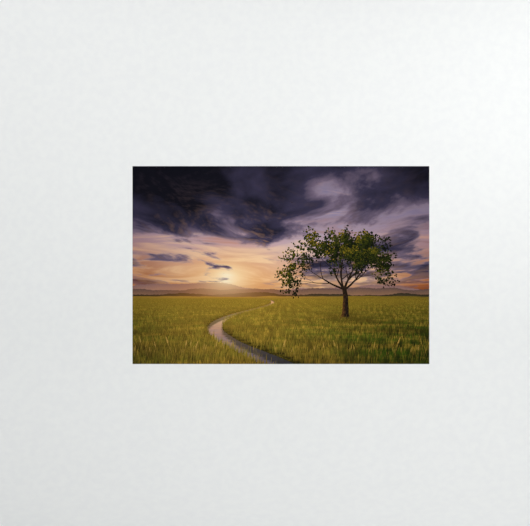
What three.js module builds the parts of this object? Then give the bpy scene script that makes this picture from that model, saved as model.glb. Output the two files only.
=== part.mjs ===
// A landscape picture printed edge to edge on thin self-adhesive film, flat and upright.
// X runs along the picture's width, +Z is up and the picture faces -Y. The back face lies in the plane Y = 0,
// and the origin is the middle of that face.
import * as THREE from "three";

// The cut sheet, in millimetres: a 3:2 sheet 24 inches wide
const SHEET_WIDTH = 609.6;
const SHEET_ASPECT = 3 / 2;
const SHEET_HEIGHT = SHEET_WIDTH / SHEET_ASPECT;

// How thick each layer of the sheet is
const INK_THICKNESS = 0.04;
const FILM_THICKNESS = 0.16;
const ADHESIVE_THICKNESS = 0.05;

// A trimming knife leaves the corners sharp but for this much
const CORNER_RADIUS = 0.4;
const CORNER_STEPS = 2;

const inkFinish = new THREE.MeshStandardMaterial({ color: 0x6b5a50, roughness: 0.6, metalness: 0 });
const filmFinish = new THREE.MeshStandardMaterial({ color: 0xf2f2ef, roughness: 0.55, metalness: 0 });
const adhesiveFinish = new THREE.MeshStandardMaterial({ color: 0xdcdcd2, roughness: 0.3, metalness: 0 });

// The outline that one cut leaves on every layer: a rectangle about the origin with just softened corners
function cutOutline() {
  const halfWidth = SHEET_WIDTH / 2;
  const halfHeight = SHEET_HEIGHT / 2;
  const r = CORNER_RADIUS;
  const outline = new THREE.Shape();
  outline.moveTo(r - halfWidth, -halfHeight);
  outline.lineTo(halfWidth - r, -halfHeight);
  outline.absarc(halfWidth - r, r - halfHeight, r, -Math.PI / 2, 0);
  outline.lineTo(halfWidth, halfHeight - r);
  outline.absarc(halfWidth - r, halfHeight - r, r, 0, Math.PI / 2);
  outline.lineTo(r - halfWidth, halfHeight);
  outline.absarc(r - halfWidth, halfHeight - r, r, Math.PI / 2, Math.PI);
  outline.lineTo(-halfWidth, r - halfHeight);
  outline.absarc(r - halfWidth, r - halfHeight, r, Math.PI, 1.5 * Math.PI);
  return outline;
}

// One layer of the sheet, which lies the given distance in front of the sheet's back face
function layer(name, thickness, distanceFromBack, finish) {
  const body = new THREE.ExtrudeGeometry(cutOutline(), {
    depth: thickness,
    bevelEnabled: false,
    curveSegments: CORNER_STEPS,
  });
  // The outline's Y becomes up, and its depth comes forward
  body.rotateX(Math.PI / 2);
  body.translate(0, -distanceFromBack, 0);
  const mesh = new THREE.Mesh(body, finish);
  mesh.name = name;
  return mesh;
}

const print = new THREE.Group();
print.add(
  layer("adhesive_coat", ADHESIVE_THICKNESS, 0, adhesiveFinish),
  layer("white_film", FILM_THICKNESS, ADHESIVE_THICKNESS, filmFinish),
  layer("printed_ink", INK_THICKNESS, ADHESIVE_THICKNESS + FILM_THICKNESS, inkFinish),
);

export default print;
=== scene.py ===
"""A landscape picture printed edge to edge on thin self-adhesive film, flat and upright.

The picture is a generic evening landscape: a low sun behind broken cloud, hills, a meadow with a brook, and
one broad tree. It is painted by node trees, and its tree, birds and stalks are cut into the ink's face."""

import math
import random

import bmesh
import bpy
import numpy as np
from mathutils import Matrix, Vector
from mathutils.geometry import delaunay_2d_cdt


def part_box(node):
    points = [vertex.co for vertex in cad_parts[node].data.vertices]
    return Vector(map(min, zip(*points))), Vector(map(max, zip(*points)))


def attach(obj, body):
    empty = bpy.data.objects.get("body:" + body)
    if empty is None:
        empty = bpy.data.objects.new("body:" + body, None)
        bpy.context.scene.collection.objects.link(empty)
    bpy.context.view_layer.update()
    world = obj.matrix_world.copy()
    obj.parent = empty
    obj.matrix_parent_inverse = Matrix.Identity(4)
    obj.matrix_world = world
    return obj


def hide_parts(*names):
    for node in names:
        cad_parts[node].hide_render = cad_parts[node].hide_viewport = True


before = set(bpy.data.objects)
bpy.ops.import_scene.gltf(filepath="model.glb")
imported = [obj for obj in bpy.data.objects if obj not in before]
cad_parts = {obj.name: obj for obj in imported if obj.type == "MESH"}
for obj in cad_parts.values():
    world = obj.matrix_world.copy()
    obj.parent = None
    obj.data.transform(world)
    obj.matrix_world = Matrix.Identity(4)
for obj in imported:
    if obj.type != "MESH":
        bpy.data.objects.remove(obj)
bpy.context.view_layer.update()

# The sheet, read from the frame: it lies in X and Z, the picture faces -Y, and its back is at Y = 0
INK_LOW, INK_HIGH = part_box("printed_ink")
COAT_LOW, COAT_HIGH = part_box("adhesive_coat")
SHEET_WIDTH = INK_HIGH[0] - INK_LOW[0]
SHEET_HEIGHT = INK_HIGH[2] - INK_LOW[2]


# Wiring node trees

class Wire:
    """An output in a node tree, with ordinary arithmetic that adds math nodes after it."""

    def __init__(self, easel, socket):
        self.easel = easel
        self.socket = socket

    def __add__(self, other):
        return self.easel.math("ADD", self, other)

    def __radd__(self, other):
        return self.easel.math("ADD", other, self)

    def __sub__(self, other):
        return self.easel.math("SUBTRACT", self, other)

    def __rsub__(self, other):
        return self.easel.math("SUBTRACT", other, self)

    def __mul__(self, other):
        return self.easel.math("MULTIPLY", self, other)

    def __rmul__(self, other):
        return self.easel.math("MULTIPLY", other, self)

    def __truediv__(self, other):
        return self.easel.math("DIVIDE", self, other)

    def __rtruediv__(self, other):
        return self.easel.math("DIVIDE", other, self)

    def __neg__(self):
        return self.easel.math("MULTIPLY", self, -1.0)

    def __pow__(self, other):
        return self.easel.math("POWER", self, other)

    def __gt__(self, other):
        return self.easel.math("GREATER_THAN", self, other)

    def __lt__(self, other):
        return self.easel.math("LESS_THAN", self, other)


class Easel:
    """Adds nodes to one node tree, and gives back their outputs as wires."""

    def __init__(self, tree):
        self.tree = tree

    def node(self, kind, inputs=(), **settings):
        """A node with its settings made and its inputs, by name or place, fed with wires or plain values."""
        made = self.tree.nodes.new(kind)
        for name, value in settings.items():
            setattr(made, name, value)
        for key, value in dict(inputs).items():
            self.feed(made.inputs[key], value)
        return made

    def feed(self, target, value):
        """Links a wire to the input, or sets the input to a plain value."""
        if isinstance(value, Wire):
            self.tree.links.new(value.socket, target)
        elif target.type == "RGBA":
            target.default_value = (*value[:3], 1.0)
        else:
            target.default_value = value

    def out(self, made, key=0):
        """One output of a node, by name or place."""
        return Wire(self, made.outputs[key])

    def math(self, operation, *values):
        """One step of arithmetic."""
        return self.out(self.node("ShaderNodeMath", dict(enumerate(values)), operation=operation))

    def most(self, a, b):
        return self.math("MAXIMUM", a, b)

    def within(self, value):
        """The value held between 0 and 1."""
        return self.out(self.node("ShaderNodeClamp", {"Value": value}))

    def step(self, value, low, high):
        """Rises smoothly from 0 at low to 1 at high, or falls so where low is above high."""
        ranges = {"Value": value, "From Min": low, "From Max": high}
        return self.out(self.node("ShaderNodeMapRange", ranges, interpolation_type="SMOOTHSTEP"))

    def line(self, value, low, high, start=0.0, end=1.0):
        """Goes straight from start, where the value is low, to end, where it is high, and stays there."""
        ranges = {"Value": value, "From Min": low, "From Max": high, "To Min": start, "To Max": end}
        return self.out(self.node("ShaderNodeMapRange", ranges))

    def bell(self, value, width):
        """1 where the value is 0, falling off on both sides as a bell does."""
        ratio = value / width
        return self.math("EXPONENT", ratio * ratio * -1.0)

    def place(self, x, y, z=0.0):
        """Three numbers as one vector."""
        return self.out(self.node("ShaderNodeCombineXYZ", {"X": x, "Y": y, "Z": z}))

    def noise(self, place, scale, detail=5.0, rough=0.55, warp=0.0):
        """Soft noise in the plane, mostly between 0.25 and 0.75, with the given number of bends to a unit."""
        inputs = {"Vector": place, "Scale": scale, "Detail": detail, "Roughness": rough, "Distortion": warp}
        return self.out(self.node("ShaderNodeTexNoise", inputs, noise_dimensions="2D"))

    def mix(self, part, under, over):
        """The colour under, covered by the colour over as far as part says."""
        made = self.node("ShaderNodeMix", data_type="RGBA")
        for key, value in (("Factor_Float", part), ("A_Color", under), ("B_Color", over)):
            self.feed(next(s for s in made.inputs if s.identifier == key), value)
        return Wire(self, next(s for s in made.outputs if s.identifier == "Result_Color"))

    def blend(self, way, part, under, over):
        """As mix, but the two colours meet by another way, such as MULTIPLY or SCREEN."""
        mixed = self.mix(part, under, over)
        mixed.socket.node.blend_type = way
        return mixed

    def ramp(self, value, stops):
        """A colour picked by the value from stops, each a place from 0 to 1 and its colour."""
        made = self.node("ShaderNodeValToRGB", {"Fac": value})
        points = made.color_ramp.elements
        while len(points) < len(stops):
            points.new(1.0)
        for point, (at, colour) in zip(points, stops):
            point.position = at
            point.color = (*colour, 1.0)
        return self.out(made, "Color")


def tone(red, green, blue):
    """A colour given by its screen values from 0 to 255, as the linear light that nodes work in."""
    def linear(value):
        value /= 255
        return value / 12.92 if value <= 0.04045 else ((value + 0.055) / 1.055) ** 2.4
    return tuple(linear(value) for value in (red, green, blue))


def node_group(inputs, outputs):
    """Makes a recipe one group of shader nodes, built where it is first used, with these named sockets."""
    def wrap(recipe):
        def build():
            tree = bpy.data.node_groups.new(recipe.__name__, "ShaderNodeTree")
            for name in inputs:
                tree.interface.new_socket(name, in_out="INPUT", socket_type="NodeSocketFloat")
            for name, kind in outputs.items():
                tree.interface.new_socket(name, in_out="OUTPUT", socket_type="NodeSocket" + kind)
            inside = Easel(tree)
            given = inside.node("NodeGroupInput")
            made = recipe(inside, *(inside.out(given, name) for name in inputs))
            inside.node("NodeGroupOutput", zip(outputs, made))
            return tree

        def use(paint, *values):
            tree = bpy.data.node_groups.get(recipe.__name__) or build()
            made = paint.node("ShaderNodeGroup", zip(inputs, values), node_tree=tree)
            return [paint.out(made, name) for name in outputs]
        return use
    return wrap


# Outlines in the picture, each a flat shape in X and Z, where a later one lies over an earlier one

BARK, LEAF, BIRD, STALK = 1.0, 2.0, 3.0, 4.0
HORIZON = -0.058
SUN = (-0.112, -0.026)

TREE_FOOT = (0.132, -0.110)
TRUNK_LENGTH = 0.060
TRUNK_WIDTH = 0.0150
TREE_SEED = 26

# A branch's level is how many forks lie below it, and the trunk is level 0
LAST_LEVEL = 5
CLUMP_LEVEL = 3
LEAFY_LEVEL = 4
BOUGHS_OF_TRUNK = 6
SHOOTS_OF_BRANCH = 3
TRUNK_SPREAD = 2.5
BRANCH_SPREAD = 1.6
BOUGH_THICKNESS = 0.52
SHOOT_THICKNESS = 0.62
BRANCH_STEPS = 6
BRANCH_CURVE = 0.10
BRANCH_WOBBLE = 0.13
BRANCH_TAPER = 0.42
ROOT_FLARE = 1.5


class Shape:
    """A flat outline of the picture, with its motif, its light and its tint, which its material reads."""

    def __init__(self, points, motif, light=0.5, tint=0.5):
        self.ring = np.array([(p[0], p[1]) for p in points])
        self.motif = motif
        self.light = light
        self.tint = tint


def strip_outline(spine, widths):
    """The closed outline of a tapering strip along its spine."""
    left, right = [], []
    for i, (point, width) in enumerate(zip(spine, widths)):
        along = (spine[min(i + 1, len(spine) - 1)] - spine[max(i - 1, 0)]).normalized()
        side = Vector((-along.y, along.x)) * (width / 2)
        left.append(point + side)
        right.append(point - side)
    return left + right[::-1]


def grow(start, heading, length, width, level, dice, branches):
    """Adds a branch and all that grows from it, and gives back the clumps of points where leaves sit."""
    trunk = level == 0
    spine, widths = [Vector(start)], [width * (ROOT_FLARE if trunk else 1.0)]
    curve = dice.uniform(-BRANCH_CURVE, BRANCH_CURVE)
    for i in range(BRANCH_STEPS):
        heading += curve + dice.uniform(-BRANCH_WOBBLE, BRANCH_WOBBLE)
        spine.append(spine[-1] + Vector((math.cos(heading), math.sin(heading))) * (length / BRANCH_STEPS))
        widths.append(width * (1.0 - BRANCH_TAPER * (i + 1) / BRANCH_STEPS))
    branches.append(strip_outline(spine, widths))
    leafy = [spine[2::2]] if level >= LEAFY_LEVEL else []
    if level == LAST_LEVEL:
        return leafy
    shoots = BOUGHS_OF_TRUNK if trunk else SHOOTS_OF_BRANCH
    spread = TRUNK_SPREAD if trunk else BRANCH_SPREAD
    thickness = BOUGH_THICKNESS if trunk else SHOOT_THICKNESS
    for i in range(shoots):
        share = (i + 0.5) / shoots - 0.5
        turn = share * spread + dice.uniform(-0.2, 0.2)
        at = BRANCH_STEPS if trunk or i == shoots // 2 else dice.randint(3, BRANCH_STEPS)
        long = length * dice.uniform(0.64, 0.86)
        wide = widths[at] * thickness
        leafy += grow(spine[at], heading + turn, long, wide, level + 1, dice, branches)
    return [sum(leafy, [])] if level == CLUMP_LEVEL else leafy


def tree():
    """The outlines of the trunk and branches, and the points where leaves sit, clump by clump."""
    branches = []
    dice = random.Random(TREE_SEED)
    upward = math.radians(90)
    clumps = grow(TREE_FOOT, upward, TRUNK_LENGTH, TRUNK_WIDTH, 0, dice, branches)
    return branches, clumps


SUNWARD = Vector((-0.72, 0.69))


def leaf_light(point, middle, spread):
    """How far a leaf faces the low sun and the sky, from where it sits in its clump."""
    out = (point - middle) / spread
    return 0.5 + 0.5 * max(-1.0, min(1.0, out.dot(SUNWARD)))


# What repeats in the picture is set out by geometry nodes: leaves on the tree, and stalks in the foreground

def geometry_tree(name, inputs):
    """An empty tree of geometry nodes with named number inputs, its easel and the inputs as wires."""
    tree = bpy.data.node_groups.new(name, "GeometryNodeTree")
    tree.interface.new_socket("Geometry", in_out="INPUT", socket_type="NodeSocketGeometry")
    tree.interface.new_socket("Geometry", in_out="OUTPUT", socket_type="NodeSocketGeometry")
    for key, kind in inputs.items():
        tree.interface.new_socket(key, in_out="INPUT", socket_type="NodeSocket" + kind)
    easel = Easel(tree)
    given = easel.node("NodeGroupInput")
    return tree, easel, [easel.out(given, i) for i in range(len(inputs) + 1)]


def finish_tree(easel, geometry, material):
    """Realizes the instances, sets the material and hands the geometry out."""
    real = easel.out(easel.node("GeometryNodeRealizeInstances", {"Geometry": geometry}))
    painted = easel.node("GeometryNodeSetMaterial", {"Geometry": real, "Material": material})
    easel.node("NodeGroupOutput", {0: easel.out(painted)})


def grown(name, tree, base, settings):
    """The plain mesh that a tree of geometry nodes makes of the base mesh, with its inputs set by name."""
    holder = bpy.data.objects.new(name, base)
    bpy.context.scene.collection.objects.link(holder)
    modifier = holder.modifiers.new(name, "NODES")
    modifier.node_group = tree
    for item in tree.interface.items_tree:
        if item.name in settings:
            modifier[item.identifier] = settings[item.name]
    made = bpy.data.meshes.new_from_object(holder.evaluated_get(bpy.context.evaluated_depsgraph_get()))
    holder.modifiers.remove(modifier)
    bpy.data.objects.remove(holder)
    return made


def random_number(easel, low, high, seed):
    """A number between low and high, drawn anew for every point or instance."""
    made = easel.node("FunctionNodeRandomValue", data_type="FLOAT")
    made.inputs[2].default_value = low
    made.inputs[3].default_value = high
    easel.feed(next(s for s in made.inputs if s.name == "Seed"), seed)
    return easel.out(made, 1)


def store(easel, geometry, name, value, domain="INSTANCE"):
    """The geometry with the value kept on it by name."""
    made = easel.node("GeometryNodeStoreNamedAttribute", {"Geometry": geometry, "Name": name},
                      data_type="FLOAT", domain=domain)
    easel.feed(next(s for s in made.inputs if s.name == "Value"), value)
    return easel.out(made)


def moved(easel, geometry, place=(0.0, 0.0, 0.0), turn=(0.0, 0.0, 0.0), size=(1.0, 1.0, 1.0)):
    """The geometry scaled, turned and set in its place."""
    inputs = {"Geometry": geometry, "Translation": place, "Rotation": turn, "Scale": size}
    return easel.out(easel.node("GeometryNodeTransform", inputs))


def on_points(easel, points, shape, turn, size):
    """A copy of the shape on every point, turned and scaled."""
    inputs = {"Points": points, "Instance": shape, "Rotation": turn, "Scale": size}
    return easel.out(easel.node("GeometryNodeInstanceOnPoints", inputs))


UPRIGHT = (math.pi / 2, 0.0, 0.0)
LEAF_WIDTH = 0.62

# A seed's size and where its middle is, in lengths of the head it sits on
SEED_LENGTH = 0.26
SEED_WIDTH = 0.075
SEED_OUT = 0.10


def flat_leaf(easel, corners, length, width):
    """A flat leaf with its ends along X, standing in the plane of the picture."""
    disc = {"Vertices": corners, "Radius": 0.5}
    made = easel.out(easel.node("GeometryNodeMeshCircle", disc, fill_type="NGON"))
    return moved(easel, made, turn=UPRIGHT, size=easel.place(length, width, 1.0))


def leaf_tree(material):
    """Geometry nodes that scatter small sprays of leaf round every point they are given."""
    inputs = {"Sprays a point": "Int", "Scatter": "Float", "Spray length": "Float", "Seed": "Int"}
    tree, easel, (points, count, scatter, length, seed) = geometry_tree("leaf_sprays", inputs)
    lone = easel.out(easel.node("GeometryNodeMeshToPoints", {"Mesh": points}))
    copied = {"Geometry": lone, "Amount": count}
    many = easel.out(easel.node("GeometryNodeDuplicateElements", copied, domain="POINT"))
    aside = random_number(easel, -1.0, 1.0, seed) * scatter
    above = random_number(easel, -1.0, 1.0, seed + 1) * scatter
    offset = easel.place(aside, 0.0, above)
    spots = easel.node("GeometryNodeSetPosition", {"Geometry": many, "Offset": offset})
    turn = easel.place(0.0, random_number(easel, 0.0, 2 * math.pi, seed + 2), 0.0)
    size = random_number(easel, 0.55, 1.3, seed + 3)
    leaf = flat_leaf(easel, 5, length, length * LEAF_WIDTH)
    placed = on_points(easel, easel.out(spots), leaf, turn, easel.place(size, size, size))
    finish_tree(easel, store(easel, placed, "tint", random_number(easel, 0.0, 1.0, seed + 4)), material)
    return tree


def stalk_tree(material):
    """Geometry nodes that stand bending stalks with heads of seed on every point they are given."""
    inputs = {"Stalk height": "Float", "Stalk width": "Float", "Head length": "Float"}
    inputs.update({"Seeds a head": "Int", "Seed": "Int"})
    tree, easel, (points, tall, wide, head, grains, seed) = geometry_tree("seed_stalks", inputs)
    lone = easel.out(easel.node("GeometryNodeMeshToPoints", {"Mesh": points}))
    strip = {"Vertices X": 2, "Vertices Y": 8, "Size X": wide, "Size Y": tall}
    blade = easel.out(easel.node("GeometryNodeMeshGrid", strip))
    stem = moved(easel, blade, place=easel.place(0.0, 0.0, tall * 0.5), turn=UPRIGHT)
    steps = {"Count": grains, "Start Location": easel.place(0.0, 0.0, tall - head),
             "Offset": easel.place(0.0, 0.0, head / grains)}
    row = easel.out(easel.node("GeometryNodeMeshLine", steps, mode="OFFSET"))
    index = easel.out(easel.node("GeometryNodeInputIndex"))
    side = easel.math("MODULO", index, 2.0) * 2.0 - 1.0
    lean = easel.place(0.0, side * 0.5 - math.pi / 2, 0.0)
    grain = flat_leaf(easel, 6, head * SEED_LENGTH, head * SEED_WIDTH)
    grain = moved(easel, grain, place=easel.place(head * SEED_OUT, 0.0, 0.0))
    taper = easel.line(index / grains, 0.2, 1.0, 1.0, 0.5)
    ear = on_points(easel, row, grain, lean, easel.place(taper, taper, taper))
    ear = easel.out(easel.node("GeometryNodeRealizeInstances", {"Geometry": ear}))
    plant = easel.node("GeometryNodeJoinGeometry", {"Geometry": stem})
    easel.feed(plant.inputs["Geometry"], ear)
    size = random_number(easel, 0.5, 1.12, seed)
    flip = random_number(easel, -1.0, 1.0, seed + 1)
    placed = on_points(easel, lone, easel.out(plant), easel.place(0.0, flip * 0.16, 0.0),
                       easel.place(size, size, size))
    placed = store(easel, placed, "tint", random_number(easel, 0.0, 1.0, seed + 2))
    placed = store(easel, placed, "bend", flip)
    real = easel.out(easel.node("GeometryNodeRealizeInstances", {"Geometry": placed}))
    here = easel.node("ShaderNodeSeparateXYZ", {"Vector": easel.out(easel.node("GeometryNodeInputPosition"))})
    rise = (easel.out(here, "Z") - SEED_ROOT) / tall
    bend = easel.out(easel.node("GeometryNodeInputNamedAttribute", {"Name": "bend"}, data_type="FLOAT"))
    sway = easel.place((bend * 0.16 + 0.05) * rise * rise * tall, 0.0, 0.0)
    bent = easel.out(easel.node("GeometryNodeSetPosition", {"Geometry": real, "Offset": sway}))
    finish_tree(easel, store(easel, bent, "light", easel.within(rise), "POINT"), material)
    return tree


def points_mesh(points, light):
    """Loose points of the picture with the light on each, for geometry nodes to grow from."""
    mesh = bpy.data.meshes.new("points")
    mesh.from_pydata([(p[0], 0.0, p[1]) for p in points], [], [])
    mesh.attributes.new("light", "FLOAT", "POINT").data.foreach_set("value", light)
    return mesh


def shapes_of(mesh, motif):
    """Every face of a grown mesh as an outline of the picture."""
    values = {key: [item.value for item in mesh.attributes[key].data] for key in ("light", "tint")}
    shapes = []
    for face in mesh.polygons:
        first = face.vertices[0]
        points = [(mesh.vertices[i].co.x, mesh.vertices[i].co.z) for i in face.vertices]
        shapes.append(Shape(points, motif, values["light"][first], values["tint"][first]))
    return shapes


# A clump's leaves are fully lit or shaded at this share of its reach, and those behind get this much light
CLUMP_FULL = 0.8
BEHIND_DIM = 0.45


def leafy_tree():
    """The tree: leaves behind, its branches, then smaller leaves in front, so that boughs show between."""
    branches, clumps = tree()
    points, light = [], []
    for clump in clumps:
        middle = sum(clump, Vector((0.0, 0.0))) / len(clump)
        spread = max((point - middle).length for point in clump) * CLUMP_FULL
        points += clump
        light += [leaf_light(point, middle, spread) for point in clump]
    sprays = leaf_tree(bpy.data.materials.new("outline"))
    settings = {"Sprays a point": 1, "Scatter": 0.0045, "Spray length": 0.0054, "Seed": 3}
    dim = [value * BEHIND_DIM for value in light]
    behind = grown("leaves_behind", sprays, points_mesh(points, dim), settings)
    settings = {"Sprays a point": 2, "Scatter": 0.0050, "Spray length": 0.0040, "Seed": 17}
    before = grown("leaves_before", sprays, points_mesh(points, light), settings)
    bark = [Shape(outline, BARK) for outline in branches]
    return shapes_of(behind, LEAF) + bark + shapes_of(before, LEAF)


SEED_ROOT = -0.2060
ROOT_DEPTH = 0.014
STALK_COUNT = 90
STALKS_AT_MIDDLE = 0.25
STALK_SIZES = {"Stalk height": 0.058, "Stalk width": 0.0006, "Head length": 0.0125}
STALK_COUNTS = {"Seeds a head": 14, "Seed": 4}


def seed_stalks():
    """Tall stalks close to the eye, rooted just below the sheet's edge and thickest towards both sides."""
    dice = random.Random(9)
    spots = []
    while len(spots) < STALK_COUNT:
        x = dice.uniform(-SHEET_WIDTH / 2, SHEET_WIDTH / 2)
        aside = abs(2 * x / SHEET_WIDTH) ** 1.5
        if dice.random() < STALKS_AT_MIDDLE + (1.0 - STALKS_AT_MIDDLE) * aside:
            spots.append((x, SEED_ROOT - dice.uniform(0.0, ROOT_DEPTH)))
    stalks = stalk_tree(bpy.data.materials.new("outline"))
    made = grown("seed_stalks", stalks, points_mesh(spots, [0.5] * len(spots)), STALK_SIZES | STALK_COUNTS)
    return shapes_of(made, STALK)


def bird_outline(middle, span, lift, tilt):
    """A far bird seen from the side and below: two swept wings over a slim body."""
    half = [(0.50, lift), (0.34, lift * 0.95 + 0.02), (0.17, lift * 0.45 + 0.05), (0.05, 0.045), (0.02, 0.07)]
    under = [(0.03, -0.05), (0.07, -0.012), (0.18, lift * 0.45 - 0.025), (0.33, lift * 0.9 - 0.02)]
    ring = half + [(-x, z) for x, z in half[::-1]]
    ring = ring + [(-x, z) for x, z in under[::-1]] + [(0.0, -0.09)] + under
    turned = Vector((math.cos(tilt), math.sin(tilt)))
    across = Vector((-turned.y, turned.x))
    return [Vector(middle) + turned * (x * span) + across * (z * span) for x, z in ring]


BIRDS = 11
FIRST_BIRD = (-0.062, 0.073)
BIRD_GAP = 0.0165
SHORT_LINE = 0.62
LINES_APART = 0.0062
LINES_RISE = 0.0045


def flock():
    """A loose flock in two uneven lines, its birds at different strokes of the wing."""
    dice = random.Random(5)
    shapes = []
    for i in range(BIRDS):
        side = -1 if i % 2 else 1
        rank = (i + 1) // 2
        x = FIRST_BIRD[0] + rank * BIRD_GAP * (1.0 if side > 0 else SHORT_LINE) + dice.uniform(-0.004, 0.004)
        z = FIRST_BIRD[1] + side * rank * LINES_APART + rank * LINES_RISE + dice.uniform(-0.003, 0.003)
        span = dice.uniform(0.0085, 0.0120)
        lift = dice.uniform(-0.06, 0.24)
        outline = bird_outline((x, z), span, lift, dice.uniform(-0.25, 0.1))
        shapes.append(Shape(outline, BIRD, tint=dice.random()))
    return shapes


# Points of the cut that lie closer than this become one
CUT_CLOSEST = 2e-6


def covers(ring, places):
    """Which of the places, rows of x and z, lie inside the closed ring."""
    (ax, az), (bx, bz) = ring.T, np.roll(ring, -1, axis=0).T
    x, z = places[:, :1], places[:, 1:]
    crossed = (z < az) != (z < bz)
    level = np.where(az == bz, 1.0, bz - az)
    beyond = x < ax + (z - az) * ((bx - ax) / level)
    return (crossed & beyond).sum(axis=1) % 2 == 1


def tops_of(middles, shapes):
    """For each of the places, the last of the shapes that it lies in, or -1."""
    order = np.argsort(middles[:, 0])
    middles = middles[order]
    tops = np.full(len(middles), -1)
    for i, shape in enumerate(shapes):
        low, high = shape.ring.min(axis=0), shape.ring.max(axis=0)
        start, end = np.searchsorted(middles[:, 0], (low[0], high[0]))
        level = middles[start:end, 1]
        near = start + np.nonzero((level > low[1]) & (level < high[1]))[0]
        tops[near[covers(shape.ring, middles[near])]] = i
    given_back = np.empty(len(tops), int)
    given_back[order] = tops
    return given_back


def edges_of(ring):
    """The pairs of neighbours round a closed ring."""
    return list(zip(ring, (*ring[1:], ring[0])))


def cut_along(points, seams, sheet, shapes):
    """The sheet's face cut along the seams: its points, its triangles and the shape that shows on each."""
    points, _, triangles = delaunay_2d_cdt(points.tolist(), seams.tolist(), [], 0, CUT_CLOSEST, False)[:3]
    points = np.array([tuple(point) for point in points])
    triangles = np.array(triangles)
    middles = points[triangles].mean(axis=1)
    on_sheet = covers(sheet, middles)
    return points, triangles[on_sheet], tops_of(middles[on_sheet], shapes)


def seams_that_show(triangles, tops):
    """The edges that part two shapes or lie at the rim, as pairs of points."""
    edges = np.sort(np.concatenate([triangles[:, pair] for pair in ((0, 1), (1, 2), (2, 0))]), axis=1)
    sides = np.tile(tops, 3)
    order = np.lexsort(edges.T)
    edges, sides = edges[order], sides[order]
    alike = (edges[1:] == edges[:-1]).all(axis=1) & (sides[1:] == sides[:-1])
    hidden = np.append(alike, False) | np.append(False, alike)
    return np.unique(edges[~hidden], axis=0)


def face_cut(sheet, shapes):
    """The face split along the outlines that show: its points, its triangles and the shape on each."""
    rings = [sheet] + [shape.ring for shape in shapes]
    starts = np.cumsum([0] + [len(ring) for ring in rings])
    seams = np.concatenate([edges_of(range(a, b)) for a, b in zip(starts, starts[1:])])
    points, triangles, tops = cut_along(np.concatenate(rings), seams, sheet, shapes)
    used, seams = np.unique(seams_that_show(triangles, tops), return_inverse=True)
    return cut_along(points[used], seams.reshape(-1, 2), sheet, shapes)


def sheet_outline(node):
    """The outline of a CAD layer as corners in X and Z, anticlockwise seen from the front."""
    corners = {(round(v.co.x, 7), round(v.co.z, 7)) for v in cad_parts[node].data.vertices}
    ring = sorted(corners, key=lambda corner: math.atan2(corner[1], corner[0]))
    return np.array(ring)


# The picture's own map for colour: its front fills all but a strip, which holds the back and the cut edge
FRONT_MAP = (0.040, 0.998)
EDGE_MAP = (0.020, 0.030)
BACK_MAP = (0.002, 0.012)
MAP_MARGIN = 0.002

# Each of the four edges takes a little less than a quarter of its strip
EDGE_SHARE = 0.24
TOP_START, FOOT_START, RIGHT_START, LEFT_START = 0.0, 0.25, 0.5, 0.75


def map_face(face, layer, front, back):
    """Lays one face of the ink on its map, the front as the eye sees it."""
    levels = {vert: vert.co.z / SHEET_HEIGHT + 0.5 for vert in face.verts}
    low, high = FRONT_MAP
    if face.normal.y > 0.5:
        low, high = BACK_MAP
    elif face.normal.y > -0.5:
        low, high = EDGE_MAP
        levels = {vert: (vert.co.y - front) / (back - front) for vert in face.verts}
    for loop in face.loops:
        across = loop.vert.co.x / SHEET_WIDTH + 0.5
        if low == EDGE_MAP[0] and abs(face.normal.x) > 0.5:
            edge_start = RIGHT_START if face.normal.x > 0 else LEFT_START
            across = (loop.vert.co.z / SHEET_HEIGHT + 0.5) * EDGE_SHARE + edge_start
        elif low == EDGE_MAP[0]:
            across = across * EDGE_SHARE + (TOP_START if face.normal.z > 0 else FOOT_START)
        u = across * (1.0 - 2 * MAP_MARGIN) + MAP_MARGIN
        loop[layer].uv = (u, low + (high - low) * levels[loop.vert])


def picture_mesh(shapes):
    """The ink as one closed slab in the CAD layer's place, its face split along the picture's outlines."""
    points, triangles, tops = face_cut(sheet_outline("printed_ink"), shapes)
    mesh = bmesh.new()
    motif = mesh.faces.layers.float.new("motif")
    light = mesh.faces.layers.float.new("light")
    tint = mesh.faces.layers.float.new("tint")
    front, back = INK_LOW[1], INK_HIGH[1]
    verts = [mesh.verts.new((x, front, z)) for x, z in points.tolist()]
    for corners, top in zip(triangles.tolist(), tops.tolist()):
        face = mesh.faces.new([verts[i] for i in corners])
        if top >= 0:
            face[motif], face[light], face[tint] = shapes[top].motif, shapes[top].light, shapes[top].tint
    rim = [edge for edge in mesh.edges if edge.is_boundary]
    behind = {}
    for edge in rim:
        for vert in edge.verts:
            if vert not in behind:
                behind[vert] = mesh.verts.new((vert.co.x, back, vert.co.z))
    for edge in rim:
        loop = edge.link_loops[0]
        a, b = loop.vert, loop.link_loop_next.vert
        mesh.faces.new((b, a, behind[a], behind[b]))
    ring = sorted(behind.values(), key=lambda vert: math.atan2(vert.co.z, vert.co.x))
    mesh.faces.new(ring[::-1])
    bmesh.ops.delete(mesh, geom=[vert for vert in mesh.verts if not vert.link_faces], context="VERTS")
    mesh.normal_update()
    layer = mesh.loops.layers.uv.new("OFBake")
    for face in mesh.faces:
        map_face(face, layer, front, back)
    made = bpy.data.meshes.new("printed_picture")
    mesh.to_mesh(made)
    mesh.free()
    return made


def slab_mesh(node, front, back):
    """A closed slab with the outline of a CAD layer, between two distances in Y."""
    ring = sheet_outline(node)
    count = len(ring)
    verts = [(x, y, z) for y in (front, back) for x, z in ring.tolist()]
    sides = [(b, a, a + count, b + count) for a, b in edges_of(range(count))]
    mesh = bpy.data.meshes.new(node)
    mesh.from_pydata(verts, [], [tuple(range(count)), tuple(range(2 * count - 1, count - 1, -1)), *sides])
    return mesh


def new_piece(name, mesh):
    """An object at the origin that moves with the sheet."""
    piece = bpy.data.objects.new(name, mesh)
    bpy.context.scene.collection.objects.link(piece)
    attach(piece, "root")
    return piece


# The picture, painted over the sheet: x is across and z is up from its middle, both in metres

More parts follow.
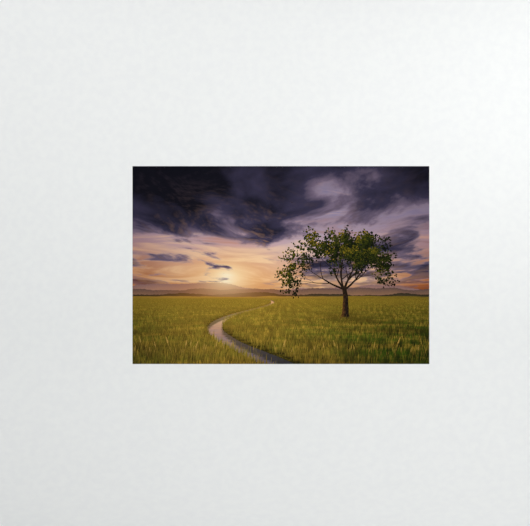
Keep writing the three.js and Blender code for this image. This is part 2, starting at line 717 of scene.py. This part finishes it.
SKY_TOP = SHEET_HEIGHT / 2
LEFT_EDGE = -0.31
RIGHT_EDGE = 0.31

SUN_WHITE = tone(255, 248, 226)
SUN_CREAM = tone(255, 228, 182)
SUN_AMBER = tone(226, 148, 82)
RUST = tone(146, 70, 34)
HORIZON_PEACH = tone(196, 148, 110)


def clear_sky(paint, x, z):
    """The sky behind the clouds: warm and pale low down, slate high up, with the glow of the low sun."""
    height = (z - HORIZON) / (SKY_TOP - HORIZON)
    colour = paint.ramp(height, [
        (0.00, HORIZON_PEACH),
        (0.10, tone(224, 182, 142)),
        (0.22, tone(220, 186, 164)),
        (0.38, tone(190, 168, 178)),
        (0.60, tone(144, 134, 160)),
        (1.00, tone(112, 108, 138)),
    ])
    low = paint.bell(height, 0.42)
    colour = paint.mix(paint.step(x, 0.10, RIGHT_EDGE) * low * 0.85, colour, RUST)
    colour = paint.mix(paint.step(x, -0.15, LEFT_EDGE) * low * 0.92, colour, RUST)
    return sun_glow(paint, x, z, colour, 1.0)


# The sun's glow is wider than high by this much, and its three rings reach and cover this much
GLOW_FLATNESS = 1.5
GLOW_RINGS = ((0.11, 0.7, SUN_AMBER), (0.048, 0.97, SUN_CREAM), (0.015, 0.9, SUN_WHITE))


def sun_glow(paint, x, z, colour, strength):
    """The colour, with the sun's glow over it: amber wide round it, cream close to it and white in it."""
    aside = x - SUN[0]
    above = (z - SUN[1]) * GLOW_FLATNESS
    gap = paint.math("SQRT", aside * aside + above * above)
    for reach, cover, glow in GLOW_RINGS:
        colour = paint.mix(paint.bell(gap, reach) * (cover * strength), colour, glow)
    return colour


# The deck runs away to a line this far below the horizon, and its height over the eye and the part of it that
# is seen are these
DECK_RISE = 0.055
DECK_HEIGHT = 0.40
DECK_PART = (3.1, 1.7)


def cloud_deck(paint, x, z, toward_sun=0.0):
    """How thick the broken deck of cloud is. It is level, so it is seen crowded together low down."""
    rise = z - HORIZON + DECK_RISE
    pull = toward_sun / rise
    across = (x - (x - SUN[0]) * pull) / rise + DECK_PART[0]
    away = DECK_HEIGHT / (rise - (z - SUN[1]) * pull * 0.35) + DECK_PART[1]
    place = paint.place(across, away)
    banks = paint.noise(place, 0.60, detail=2.0, rough=0.5)
    billows = paint.noise(place, 1.55, detail=11.0, rough=0.55, warp=0.3)
    return billows * 0.62 + banks * 0.58


def high_wisps(paint, x, z, colour, near):
    """The colour, with thin high cloud in streaks: cream by the sun, rust low down aside, and mauve above."""
    streaks = paint.noise(paint.place(x * 4.0 + z * 5.0, z * 30.0), 1.0, detail=9.0, rough=0.60, warp=0.8)
    sides = paint.step(x, 0.12, 0.30) + paint.step(x, -0.10, -0.30)
    low = paint.bell(z - HORIZON, 0.11)
    away = paint.mix(sides * low, tone(206, 164, 160), tone(216, 118, 58))
    bright = paint.mix(near, away, tone(255, 222, 176))
    colour = paint.mix(paint.step(streaks, 0.47, 0.66) * 0.60, colour, bright)
    away = paint.mix(sides * low, tone(112, 84, 96), tone(112, 50, 30))
    dull = paint.mix(near, away, tone(196, 132, 96))
    return paint.mix(paint.step(streaks, 0.45, 0.30) * 0.50, colour, dull)


# The deck has two breaks, each given by its middle and its reach aside and upward: a wide one round the sun,
# and a small slanting one high on the right. The deck gives way there by this much.
SUN_BREAK = ((SUN[0] + 0.06, SUN[1] + 0.015), (0.17, 0.065))
HIGH_BREAK = ((0.0805, 0.165), (0.060, 0.050))
HIGH_SLANT = 0.9
BREAK_DEPTH = 0.13

# How thick the deck must be to be seen, at the horizon and at the top
THIN_LOW, THIN_HIGH = 0.55, 0.42

# How far towards the sun the light on a cloud is felt for, and how sharply it shows
LIGHT_STEP = 0.012
LIGHT_SHARP = 7.0


def sky(paint, x, z):
    """The evening sky with its clouds."""
    colour = clear_sky(paint, x, z)
    (middle_x, middle_z), (reach_x, reach_z) = SUN_BREAK
    gap_x = (x - middle_x) / reach_x
    gap_z = (z - middle_z) / reach_z
    gap = paint.math("SQRT", gap_x * gap_x + gap_z * gap_z)
    opening = paint.bell(gap, 1.0)
    near = paint.bell(gap, 1.9)
    colour = high_wisps(paint, x, z, colour, near)
    (middle_x, middle_z), (reach_x, reach_z) = HIGH_BREAK
    gap_x = (x - middle_x + (z - middle_z) * HIGH_SLANT) / reach_x
    gap_z = (z - middle_z) / reach_z
    high_opening = paint.math("EXPONENT", (gap_x * gap_x + gap_z * gap_z) * -1.0)
    cover = paint.line(z, HORIZON, SKY_TOP, THIN_LOW, THIN_HIGH)
    cover = cover + opening * BREAK_DEPTH + high_opening * BREAK_DEPTH
    thickness = cloud_deck(paint, x, z)
    sunward = cloud_deck(paint, x, z, toward_sun=LIGHT_STEP)
    depth = thickness - cover
    shade = paint.ramp(paint.line(depth, 0.0, 0.24), [
        (0.00, tone(182, 158, 162)),
        (0.20, tone(122, 107, 126)),
        (0.50, tone(60, 56, 77)),
        (1.00, tone(18, 18, 27)),
    ])
    rim = paint.mix(near, tone(104, 92, 112), tone(240, 184, 134))
    lit = paint.within((thickness - sunward) * LIGHT_SHARP)
    shade = paint.mix(lit * (near * 0.55 + 0.22), shade, rim)
    dark = paint.within((sunward - thickness) * LIGHT_SHARP)
    shade = paint.mix(dark * 0.5, shade, tone(17, 17, 26))
    haze = paint.line(z, HORIZON, HORIZON + 0.045, 0.25, 1.0)
    return paint.mix(paint.step(depth, -0.02, 0.07) * haze, colour, shade)


# The land: three ridges of hills, then a meadow with a brook, which the eye sees in perspective

# How far below the horizon the sheet's lower edge is, where the meadow is nearest
NEAREST = HORIZON + SHEET_HEIGHT / 2

# Each ridge: base height, rise and fall, bends a metre, seed, haze at the foot, colour at the crest
RIDGES = (
    (-0.0430, 0.0460, 4.6, 3.7, tone(188, 142, 114), tone(126, 100, 106)),
    (-0.0510, 0.0300, 7.0, 11.3, tone(156, 118, 90), tone(82, 68, 70)),
    (-0.0590, 0.0170, 9.0, 21.9, tone(98, 84, 54), tone(36, 35, 30)),
)
MIST_DEPTH = 0.020
TREETOPS = 0.0042


def ridge_height(paint, x, base, swing, bends, seed):
    """The height of a hill's crest at x, with the broken edge that far trees give it."""
    form = paint.noise(paint.place(x * bends, seed), 1.0, detail=3.0, rough=0.45)
    trees = paint.noise(paint.place(x * 60.0, seed), 3.0, detail=6.0, rough=0.65)
    return (form - 0.5) * swing + (trees - 0.5) * TREETOPS + base


def hills(paint, x, z, colour):
    """The colour, with the hills over it from the farthest to the nearest, each paler towards its foot."""
    for base, swing, bends, seed, haze, crest in RIDGES:
        below = ridge_height(paint, x, base, swing, bends, seed) - z
        leaves = paint.noise(paint.place(x * 240.0, z * 420.0), 2.0, detail=3.0, rough=0.6)
        body = paint.mix(paint.step(leaves, 0.35, 0.7) * 0.35, crest, haze)
        body = paint.mix(paint.line(below, 0.0, MIST_DEPTH), body, haze)
        body = sun_glow(paint, x, z, body, 0.55)
        colour = paint.mix(paint.step(below, 0.0, 0.0004), colour, body)
    return colour


# Grass stands in rows, each a set share nearer than the row behind it. A blade's height and pitch are shares
# of how far below the horizon its root is, and blades of so many rows can reach up to one place.
ROW_RATIO = 1.065
BLADE_PITCH = 0.017
BLADE_TALL = 0.21
ROWS_SEEN = 4

# The second set of rows, which fills the gaps of the first, has its own seed
SECOND_SEED = 5.3

# The brook: where it starts, its widest swing, half its width nearest the eye and farthest, and the height of
# the grass mirrored in it, as a share of the drop below the horizon
BROOK_START = -0.052
BROOK_SWING = 0.135
BROOK_HALF_WIDTH = 0.036
BROOK_THINNEST = 0.0003
MIRRORED_GRASS = BLADE_TALL * 0.55


@node_group(("X", "Down"), {"Inside": "Float"})
def brook_edge(paint, x, down):
    """How far inside the brook's bank a point is, in half widths, from x and the drop below the horizon."""
    near = paint.most(down, 0.001) / NEAREST
    bend = paint.math("SINE", paint.math("LOGARITHM", near, math.e) * 2.3 + 0.35)
    middle = near ** 0.62 * (bend * BROOK_SWING) + BROOK_START
    half = near ** 1.15 * BROOK_HALF_WIDTH + BROOK_THINNEST
    ragged = paint.noise(paint.place(x / near * 9.0, down / near * 2.0), 1.0, detail=3.0) - 0.5
    return [1.0 - paint.math("ABSOLUTE", x - middle) / half + ragged * 0.5]


def brook_water(paint, x, z):
    """Calm water: the evening sky mirrored in it, darker nearer the eye, and the far bank's grass."""
    down = paint.most(HORIZON - z, 0.001)
    swell = paint.noise(paint.place(x / down * 2.0, 2.2 / down), 1.0, detail=2.0, rough=0.4) - 0.5
    ripple = paint.noise(paint.place(x / down * 5.0, 14.0 / down), 1.0, detail=2.0, rough=0.5) - 0.5
    colour = clear_sky(paint, x, HORIZON + down * 0.9 + 0.012 + swell * 0.02 + ripple * 0.01)
    deep = paint.step(down + swell * 0.05, 0.01, 0.17) * 0.80
    colour = paint.mix(deep, colour, tone(38, 42, 66))
    glint = paint.step(ripple + swell * 0.5, 0.06, 0.20) * 0.30
    bright = paint.mix(paint.step(down, 0.02, 0.16), SUN_CREAM, tone(128, 122, 150))
    colour = paint.mix(glint, colour, bright)
    beyond, = brook_edge(paint, x, down * (1.0 - MIRRORED_GRASS))
    mirrored = paint.step(beyond + ripple * 0.9 + swell * 0.4, 0.30, -0.20) * 0.75
    grass_tone = paint.mix(paint.step(down, 0.02, 0.14), tone(96, 84, 46), tone(36, 38, 22))
    return paint.mix(mirrored, colour, grass_tone)


# The tree's shadow on the meadow: half the trunk's width, the crown's reach aside and away, and its start
TRUNK_SHADE = 0.0062
CROWN_SHADE = (0.075, 0.013)
FOOT_DOWN = HORIZON - TREE_FOOT[1]


@node_group(("X", "Down"), {"Light": "Float"})
def field_light(paint, x, down):
    """How light the meadow is: dim under drifting cloud, in the tree's long shadow and near the eye."""
    drift = paint.noise(paint.place(x / down * 0.55, 0.55 / down), 1.0, detail=2.0, rough=0.4)
    light = paint.step(drift, 0.36, 0.60) * 0.45 + 0.55
    at_foot = (x - SUN[0]) * FOOT_DOWN / down + SUN[0] - TREE_FOOT[0]
    soft = 0.0008 + paint.most(down - FOOT_DOWN, 0.0) * 0.06
    trunk = paint.step(paint.math("ABSOLUTE", at_foot) - TRUNK_SHADE, soft, -soft)
    trunk = trunk * paint.step(down, FOOT_DOWN - 0.0006, FOOT_DOWN + 0.0010)
    aside = (x - TREE_FOOT[0]) / CROWN_SHADE[0]
    away = (down - FOOT_DOWN) / CROWN_SHADE[1]
    crown = paint.math("EXPONENT", (aside * aside + away * away) * -1.0)
    light = light * (1.0 - trunk * 0.62) * (1.0 - crown * 0.50)
    return [light * paint.line(down, 0.05, NEAREST, 1.0, 0.72)]


def grass_row(paint, across, down, nearer, seed):
    """One row of blades, the one whose roots are next below the point or some rows nearer than that.

    It gives back where the blades are, how high up them the point is, each blade's own number from 0 to 1,
    and how far below the horizon their roots are."""
    row = paint.math("CEIL", paint.math("LOGARITHM", down, ROW_RATIO)) + nearer
    root_down = paint.math("POWER", ROW_RATIO, row)
    row_seed = row * 1.37 + seed
    rise = (root_down - down) / root_down
    wind = paint.noise(paint.place(across / root_down * 2.2, row_seed), 1.0, detail=2.0) - 0.42
    bent = across - wind * rise * rise * root_down * 3.6
    cells = bent / (root_down * BLADE_PITCH) + paint.math("FRACT", row_seed * 13.7) * 50.0
    cell = paint.math("FLOOR", cells)
    blade = {"Vector": paint.place(cell, row_seed)}
    dice = paint.node("ShaderNodeTexWhiteNoise", blade, noise_dimensions="2D")
    rolled = paint.node("ShaderNodeSeparateColor", {"Color": paint.out(dice, "Color")})
    tall, aside, tint = (paint.out(rolled, i) for i in range(3))
    height = rise / ((tall * 0.62 + 0.38) * BLADE_TALL)
    off = paint.math("ABSOLUTE", cells - cell - 0.5 - (aside - 0.5) * 0.45)
    half = paint.within(1.0 - height) ** 0.75 * 0.36
    return (off < half) * (height < 1.0), height, tint, root_down


@node_group(("X", "Down", "Rows nearer", "Seed", "Patches", "Sunny"),
            {"Cover": "Float", "Colour": "Color", "Before tree": "Float"})
def grass_layer(paint, x, down, nearer, seed, patches, sunny):
    """One row of blades with its colours, where it is seen, and where it stands before the tree."""
    cover, height, tint, root = grass_row(paint, x, down, nearer, seed)
    near = paint.line(root, 0.008, NEAREST)
    clumps = paint.noise(paint.place(x / root * 7.0, root * 90.0 + seed), 1.0, detail=3.0, rough=0.6)
    dry = paint.within(tint * 0.7 + (patches - 0.5) * 2.6 + (clumps - 0.5) * 3.6 - 0.16)
    low = paint.mix(dry, tone(18, 32, 9), tone(50, 46, 16))
    tip = paint.mix(dry, tone(94, 130, 40), tone(234, 194, 94))
    blade = paint.mix(paint.step(height, 0.0, 1.0), low, tip)
    blade = paint.mix(paint.step(clumps, 0.58, 0.38) * 0.90, blade, low)
    light, = field_light(paint, x, root)
    blade = paint.mix(1.0 - light, blade, tone(10, 13, 4))
    blade = paint.mix(sunny * height * 0.40, blade, tone(240, 190, 96))
    blade = paint.mix((1.0 - near) ** 3.0 * 0.55, blade, tone(158, 126, 56))
    inside, = brook_edge(paint, x, root)
    rooted = (inside + (tint - 0.5) * 0.5) < 0.0
    shown = cover * rooted * paint.step(down, 0.007, 0.014)
    return shown, blade, shown * (root > FOOT_DOWN)


def meadow(paint, x, z, colour):
    """The colour with the meadow over it, ground and brook and then grass, and the grass before the tree."""
    down = paint.most(HORIZON - z, 0.0005)
    field = paint.place(x / down, 0.9 / down)
    patches = paint.noise(field, 0.9, detail=4.0, rough=0.6)
    near = paint.line(down, 0.01, NEAREST)
    sunny = paint.bell(x - SUN[0], 0.20)
    light, = field_light(paint, x, down)
    far_green = paint.mix(paint.step(patches, 0.38, 0.62), tone(80, 80, 32), tone(150, 122, 58))
    near_green = paint.mix(paint.step(patches, 0.40, 0.64), tone(20, 27, 8), tone(52, 52, 18))
    ground = paint.mix(near ** 0.5, far_green, near_green)
    tufts = paint.noise(paint.place(x / down * 30.0, 5.0 / down), 1.0, detail=4.0, rough=0.7)
    ground = paint.mix(paint.step(tufts, 0.42, 0.7) * 0.55, ground, tone(160, 134, 54))
    ground = paint.mix(1.0 - light, ground, tone(8, 10, 4))
    ground = paint.mix(sunny * (1.0 - near) ** 2.0 * 0.6, ground, tone(214, 158, 86))
    water, = brook_edge(paint, x, down)
    bank = paint.mix(paint.step(water, -0.25, 0.1) * 0.7, ground, tone(44, 44, 17))
    wet = paint.mix(paint.step(water, 0.0, 0.06), bank, brook_water(paint, x, z))
    edge = HORIZON - 0.006 + (paint.noise(paint.place(x * 14.0, 4.4), 1.0, detail=4.0) - 0.5) * 0.006
    colour = paint.mix(paint.step(edge - z, 0.0, 0.0006), colour, wet)
    return grass(paint, x, down, patches, sunny, colour)


# Too small to move anything, this makes each row wait until the one behind it is done, because only so many
# unfinished values of one shader can be held at a time
WAIT = 1e-9


def grass(paint, x, down, patches, sunny, colour):
    """The colour with rows of blades over it, farthest first, and the cover of those before the tree."""
    before_tree = 0.0
    for number in range(2 * ROWS_SEEN):
        nearer, seed = float(number // 2), SECOND_SEED * (number % 2)
        wait = before_tree * WAIT
        cover, blade, before = grass_layer(paint, x + wait, down + wait, nearer, seed, patches, sunny)
        colour = paint.mix(cover, colour, blade)
        before_tree = paint.most(before_tree, before)
    return colour, before_tree


# The sheet's own materials

def told(paint, name):
    """What a face of the picture was told about itself, as a number."""
    return paint.out(paint.node("ShaderNodeAttribute", attribute_name=name), "Fac")


def is_motif(paint, motif):
    """1 on the faces cut to outlines of this motif, and 0 elsewhere."""
    return paint.math("COMPARE", told(paint, "motif"), motif, 0.5)


def cut_motifs(paint, x, z, colour, covered):
    """The colour, with the tree, birds and stalks over it where the sheet's face is cut to their outlines."""
    light, tint = told(paint, "light"), told(paint, "tint")
    bark_grain = paint.noise(paint.place(x * 900.0, z * 160.0), 1.0, detail=4.0, rough=0.6)
    ridged = paint.step(bark_grain, 0.38, 0.68)
    bark = paint.mix(ridged, tone(14, 11, 9), tone(52, 39, 28))
    trunk = paint.step(z, TREE_FOOT[1] + TRUNK_LENGTH, TREE_FOOT[1] + 0.5 * TRUNK_LENGTH)
    sunny_side = paint.step(x, TREE_FOOT[0] + 0.003, TREE_FOOT[0] - 0.009)
    sunlit = paint.mix(ridged, tone(58, 38, 24), tone(152, 104, 64))
    bark = paint.mix(sunny_side * trunk * 0.75, bark, sunlit)
    colour = paint.mix(is_motif(paint, BARK) * (1.0 - covered), colour, bark)
    twigs = paint.noise(paint.place(x, z), 640.0, detail=3.0, rough=0.6) - 0.5
    leaf = paint.ramp(light * 0.72 + tint * 0.22 + twigs * 0.5, [
        (0.00, tone(9, 12, 6)),
        (0.35, tone(22, 28, 11)),
        (0.62, tone(54, 60, 20)),
        (0.85, tone(118, 102, 38)),
        (1.00, tone(206, 160, 76)),
    ])
    colour = paint.mix(is_motif(paint, LEAF), colour, leaf)
    feather = paint.mix(tint, tone(18, 16, 22), tone(40, 34, 42))
    colour = paint.mix(is_motif(paint, BIRD), colour, feather)
    ripe = paint.mix(tint, tone(150, 132, 58), tone(226, 182, 104))
    stalk = paint.mix(paint.step(light, 0.1, 0.85), tone(40, 44, 16), ripe)
    stalk = paint.mix(paint.within(twigs * 2.0 + 0.4) * 0.45, stalk, tone(84, 62, 26))
    return paint.mix(is_motif(paint, STALK), colour, stalk)


# How far from the middle the picture is dimmed to its corner tone, and how much richer its colours become
VIGNETTE_REACH = 0.42
CORNER_TONE = (0.50, 0.50, 0.52)
RICHNESS = 1.07


def graded(paint, x, z, colour):
    """The colour as it is printed: richer, and dimmed away from the picture's middle as a lens does it."""
    out = (x * x + z * z * 1.6) / VIGNETTE_REACH ** 2
    colour = paint.blend("MULTIPLY", 1.0, colour, paint.mix(out, (1.0, 1.0, 1.0), CORNER_TONE))
    rich = {"Color": colour, "Saturation": RICHNESS}
    return paint.out(paint.node("ShaderNodeHueSaturation", rich))


def surface(name, roughness, specular):
    """A new material with its own easel, its shader, and the place on the piece as x and z in metres."""
    material = bpy.data.materials.new(name)
    material.use_nodes = True
    paint = Easel(material.node_tree)
    shader = material.node_tree.nodes["Principled BSDF"]
    shader.inputs["Roughness"].default_value = roughness
    shader.inputs["Specular IOR Level"].default_value = specular
    where = paint.node("ShaderNodeTexCoord")
    parts = paint.node("ShaderNodeSeparateXYZ", {"Vector": paint.out(where, "Object")})
    return material, paint, shader, paint.out(parts, "X"), paint.out(parts, "Z")


def raise_grain(paint, shader, height, distance, strength):
    """Gives the surface a fine relief from a height between 0 and 1, that many metres deep."""
    relief = paint.node("ShaderNodeBump", {"Height": height, "Distance": distance, "Strength": strength})
    paint.feed(shader.inputs["Normal"], paint.out(relief))


def printed_finish():
    """The ink: the picture in matte colour, on film with the faint pebbled skin that takes ink."""
    material, paint, shader, x, z = surface("printed_picture", 0.62, 0.03)
    colour = sky(paint, x, z)
    colour = hills(paint, x, z, colour)
    colour, covered = meadow(paint, x, z, colour)
    colour = cut_motifs(paint, x, z, colour, covered)
    paint.feed(shader.inputs["Base Color"], graded(paint, x, z, colour))
    pebble = paint.noise(paint.place(x, z), 700.0, detail=2.0, rough=0.5)
    raise_grain(paint, shader, pebble, 0.00002, 0.35)
    return material


def film_finish():
    """The white film, seen only as the sheet's cut edge: bright, with short marks from the knife."""
    material, paint, shader, x, z = surface("white_film", 0.5, 0.4)
    knife = paint.noise(paint.place(x, z), 900.0, detail=3.0, rough=0.6)
    white = paint.mix(paint.step(knife, 0.35, 0.75), tone(246, 246, 243), tone(226, 227, 224))
    paint.feed(shader.inputs["Base Color"], white)
    raise_grain(paint, shader, knife, 0.00003, 0.4)
    return material


# The adhesive is laid down as square pads, so that air under the sheet can leave by the channels between
# them. The pads sink a little into the coat, so that no gap is left under them.
PAD_COLUMNS = 60
PAD_ROWS = 40
CHANNEL_WIDTH = 0.0008
CHANNEL_DEPTH = 0.00002
PAD_SINK = 0.000004


def adhesive_finish():
    """The adhesive: clear tack over white film, cloudy and a little grey, with painted shade that makes the
    channels greyer.
    """
    material, paint, shader, x, z = surface("adhesive_coat", 0.32, 0.45)
    clouds = paint.noise(paint.place(x, z), 9.0, detail=6.0, rough=0.6)
    lines = paint.noise(paint.place(x * 0.6, z * 90.0), 1.0, detail=3.0, rough=0.5)
    specks = paint.noise(paint.place(x, z), 420.0, detail=2.0, rough=0.5)
    coat = paint.mix(paint.step(clouds, 0.34, 0.68), tone(226, 228, 222), tone(213, 216, 209))
    coat = paint.mix(paint.step(lines, 0.40, 0.66) * 0.30, coat, tone(204, 207, 199))
    coat = paint.mix(paint.step(specks, 0.66, 0.78) * 0.25, coat, tone(176, 178, 170))
    # Painted shade: where the face lies sunk in a channel between the pads, it is coloured a darker grey, as
    # the shade of that shallow recess
    here = paint.out(paint.node("ShaderNodeTexCoord"), "Object")
    parts = paint.node("ShaderNodeSeparateXYZ", {"Vector": here})
    channel_painted_shade = paint.out(parts, "Y") < COAT_HIGH[1] - CHANNEL_DEPTH * 0.5
    coat = paint.mix(channel_painted_shade, coat, tone(178, 182, 176))
    paint.feed(shader.inputs["Base Color"], coat)
    paint.feed(shader.inputs["Roughness"], paint.line(clouds, 0.3, 0.7, 0.27, 0.38))
    raise_grain(paint, shader, specks, 0.00002, 0.3)
    return material


def pad_tree(material):
    """Geometry nodes that stand a field of pads on the back of the coat and join them to it."""
    inputs = {"Columns": "Int", "Rows": "Int", "Pitch": "Float", "Channel": "Float", "Depth": "Float"}
    tree, easel, (coat, columns, rows, pitch, channel, depth) = geometry_tree("adhesive_pads", inputs)
    grid = {"Vertices X": columns, "Vertices Y": rows}
    grid.update({"Size X": (columns - 1.0) * pitch, "Size Y": (rows - 1.0) * pitch})
    spots = easel.out(easel.node("GeometryNodeMeshGrid", grid))
    upright = easel.node("GeometryNodeTransform", {"Geometry": spots, "Rotation": UPRIGHT})
    easel.feed(upright.inputs["Translation"], easel.place(0.0, COAT_HIGH[1] - depth / 2.0, 0.0))
    wide = pitch - channel
    pad = easel.out(easel.node("GeometryNodeMeshCube", {"Size": easel.place(wide, depth, wide)}))
    placed = easel.node("GeometryNodeInstanceOnPoints", {"Points": easel.out(upright), "Instance": pad})
    joined = easel.node("GeometryNodeJoinGeometry", {"Geometry": coat})
    easel.feed(joined.inputs["Geometry"], easel.out(placed))
    finish_tree(easel, easel.out(joined), material)
    return tree


def adhesive_back():
    """The adhesive in its CAD layer's place: a thin coat, and on its back the pads that do the sticking."""
    finish = adhesive_finish()
    coat = slab_mesh("adhesive_coat", COAT_LOW[1], COAT_HIGH[1] - CHANNEL_DEPTH)
    coat.materials.append(finish)
    settings = {"Columns": PAD_COLUMNS, "Rows": PAD_ROWS, "Pitch": SHEET_WIDTH / PAD_COLUMNS}
    settings.update({"Channel": CHANNEL_WIDTH, "Depth": CHANNEL_DEPTH + PAD_SINK})
    piece = new_piece("adhesive_pads", grown("adhesive_pads", pad_tree(finish), coat, settings))
    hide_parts("adhesive_coat")


def printed_picture():
    """The picture's ink, in the place of its CAD layer."""
    mesh = picture_mesh(leafy_tree() + flock() + seed_stalks())
    mesh.materials.append(printed_finish())
    piece = new_piece("printed_picture", mesh)
    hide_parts("printed_ink")


printed_picture()
adhesive_back()
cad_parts["white_film"].data.materials.clear()
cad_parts["white_film"].data.materials.append(film_finish())


# The studio: a round sweep of pale paper, open at the top, that shows behind the sheet from every side

STUDIO_RADIUS = 3.4
STUDIO_BEND = 0.9
FLOOR_LEVEL = -1.25
STUDIO_TOP = 2.4
STUDIO_STEPS = 96
BEND_STEPS = 24


def sweep_profile():
    """The sweep's section as radius and height: floor, bend and side."""
    profile = [(0.0, FLOOR_LEVEL)]
    for i in range(BEND_STEPS + 1):
        turn = math.pi / 2 * i / BEND_STEPS
        out = STUDIO_RADIUS - STUDIO_BEND + STUDIO_BEND * math.sin(turn)
        profile.append((out, FLOOR_LEVEL + STUDIO_BEND * (1 - math.cos(turn))))
    return profile + [(STUDIO_RADIUS, STUDIO_TOP)]


def studio_sweep():
    """The floor and sides in one seamless surface, as the stage."""
    mesh = bmesh.new()
    profile = [mesh.verts.new((radius, 0.0, height)) for radius, height in sweep_profile()]
    edges = [mesh.edges.new(pair) for pair in zip(profile, profile[1:])]
    bmesh.ops.spin(mesh, geom=profile + edges, cent=(0, 0, 0), axis=(0, 0, 1), angle=2 * math.pi,
                   steps=STUDIO_STEPS, use_merge=True)
    bmesh.ops.remove_doubles(mesh, verts=mesh.verts, dist=1e-5)
    bmesh.ops.recalc_face_normals(mesh, faces=mesh.faces)
    for face in mesh.faces:
        face.smooth = True
    made = bpy.data.meshes.new("studio_sweep")
    mesh.to_mesh(made)
    mesh.free()
    sweep = bpy.data.objects.new("studio_sweep", made)
    bpy.context.scene.collection.objects.link(sweep)
    material, paint, shader, _, _ = surface("studio_paper", 0.9, 0.1)
    here = paint.out(paint.node("ShaderNodeTexCoord"), "Object")
    fibre = paint.out(paint.node("ShaderNodeTexNoise", {"Vector": here, "Scale": 30.0, "Detail": 4.0}))
    paper = paint.mix(paint.step(fibre, 0.3, 0.7), tone(238, 239, 238), tone(235, 236, 236))
    paint.feed(shader.inputs["Base Color"], paper)
    made.materials.append(material)


def area_light(name, place, target, size, power, colour=(1.0, 1.0, 1.0)):
    """A square soft light at a place, turned to a target, that the camera doesn't see itself."""
    light = bpy.data.lights.new(name, "AREA")
    light.size = size
    light.energy = power
    light.color = colour
    holder = bpy.data.objects.new(name, light)
    holder.location = place
    holder.rotation_euler = (Vector(target) - Vector(place)).to_track_quat("-Z", "Y").to_euler()
    holder.visible_camera = False
    bpy.context.scene.collection.objects.link(holder)


def lights():
    """Soft light from the upper right in front, fills from above and the left, and two on the sweep."""
    area_light("key", (1.5, -2.3, 1.7), (0.0, 0.0, 0.0), 1.6, 52.0)
    area_light("top_fill", (0.0, -0.4, 2.3), (0.0, 0.0, 0.0), 3.2, 12.0)
    area_light("left_fill", (-2.0, -1.6, 0.6), (0.0, 0.0, 0.0), 1.4, 13.0)
    area_light("sweep_wash", (1.2, 1.3, 1.2), (0.5, 3.3, 0.0), 1.2, 20.0)
    area_light("sweep_top", (-0.9, 1.5, 1.9), (-0.8, 3.3, 0.6), 1.6, 10.0)
    world = bpy.data.worlds.new("studio_air")
    world.use_nodes = True
    world.node_tree.nodes["Background"].inputs["Color"].default_value = (0.96, 0.98, 1.0, 1.0)
    world.node_tree.nodes["Background"].inputs["Strength"].default_value = 0.2
    bpy.context.scene.world = world


# The camera looks squarely at the sheet, from so many pixels to the left of its middle and above it
IMAGE_WIDTH = 530
MM_A_PIXEL = 2.0538
SHEET_ASIDE = 15.9
SHEET_BELOW = 2.1
CAMERA_AWAY = 2.1
SENSOR_WIDTH_MM = 36.0


def camera():
    """The camera, whose lens makes the sheet as many pixels wide as it is in the photo."""
    pixel = MM_A_PIXEL / 1000
    data = bpy.data.cameras.new("camera")
    data.sensor_width = SENSOR_WIDTH_MM
    data.sensor_fit = "HORIZONTAL"
    data.lens = SENSOR_WIDTH_MM * CAMERA_AWAY / (IMAGE_WIDTH * pixel)
    made = bpy.data.objects.new("camera", data)
    made.location = (-SHEET_ASIDE * pixel, INK_LOW[1] - CAMERA_AWAY, SHEET_BELOW * pixel)
    made.rotation_euler = (math.pi / 2, 0.0, 0.0)
    bpy.context.scene.collection.objects.link(made)
    bpy.context.scene.camera = made


studio_sweep()
lights()
camera()
bpy.context.scene.view_settings.view_transform = "Standard"
